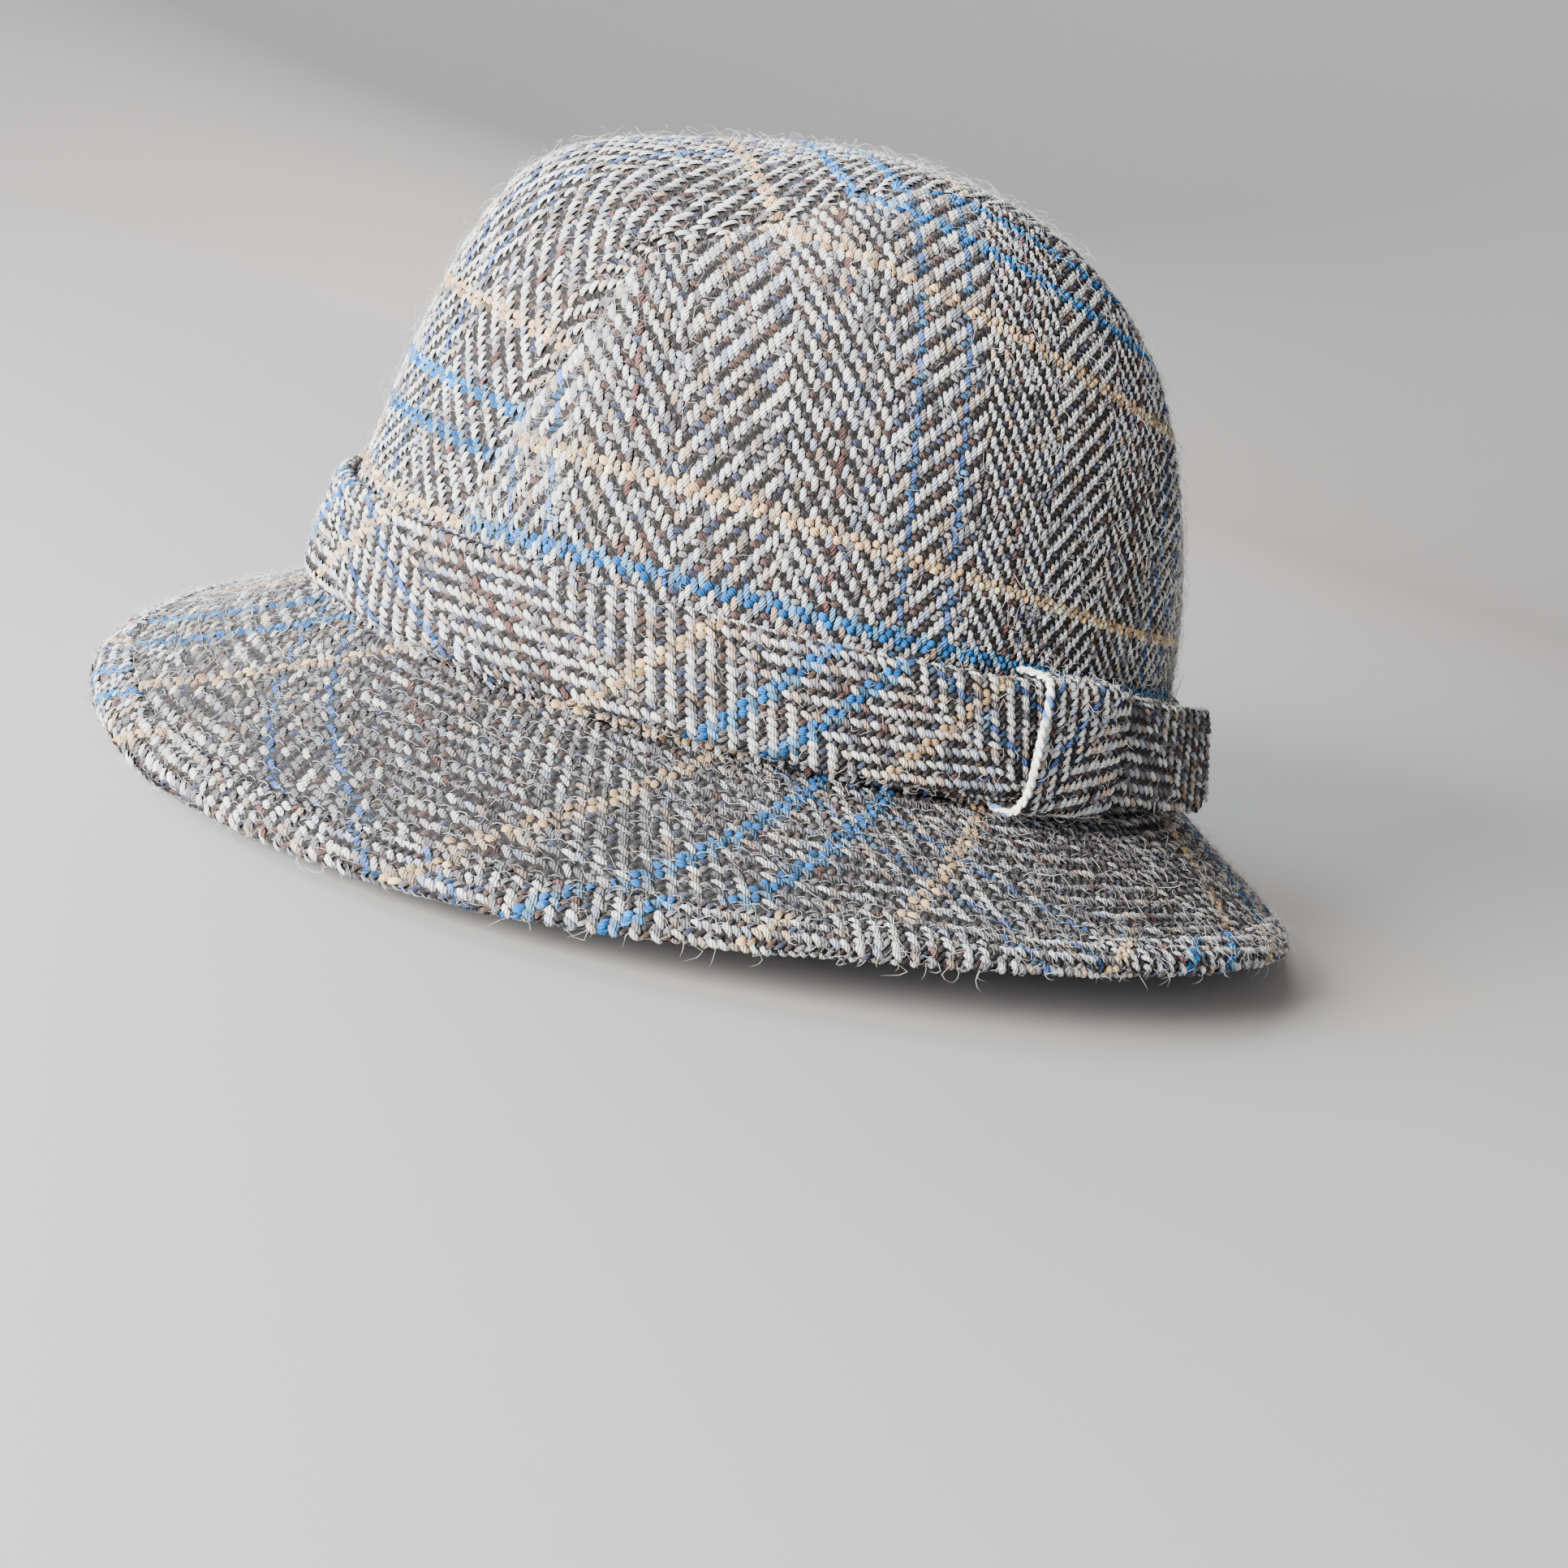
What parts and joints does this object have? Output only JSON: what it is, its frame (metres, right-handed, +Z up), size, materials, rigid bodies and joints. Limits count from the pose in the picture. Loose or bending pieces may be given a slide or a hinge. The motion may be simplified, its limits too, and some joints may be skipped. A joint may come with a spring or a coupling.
{
  "type": "fedora hat",
  "caption": "Soft herringbone tweed hat with a panelled crown, a turned-down stitched brim and a cloth strap held by a loop at the rear; worn on the head.",
  "frame": {"origin": "on the surface that the brim rests on, below the middle of the hat", "axes": "+Z up, -Y towards the front of the hat, +X towards the wearer's left"},
  "size_m": [0.251, 0.291, 0.1515],
  "materials": {
    "crown_tweed": "coarse herringbone wool, off-white warp on charcoal weft with a blue, tan and rust overcheck",
    "brim_tweed": "the crown's wool, pressed flatter and quilted with rows of pale stitching",
    "band_tweed": "the crown's wool, cut on the bias and folded"
  },
  "bodies": {
    "root": {"crown_center": "crown_tweed", "crown_side_left": "crown_tweed", "crown_side_right": "crown_tweed", "brim": "brim_tweed", "hat_band": "band_tweed", "band_tail": "band_tweed", "band_keeper": "band_tweed"}
  },
  "joints": []
}
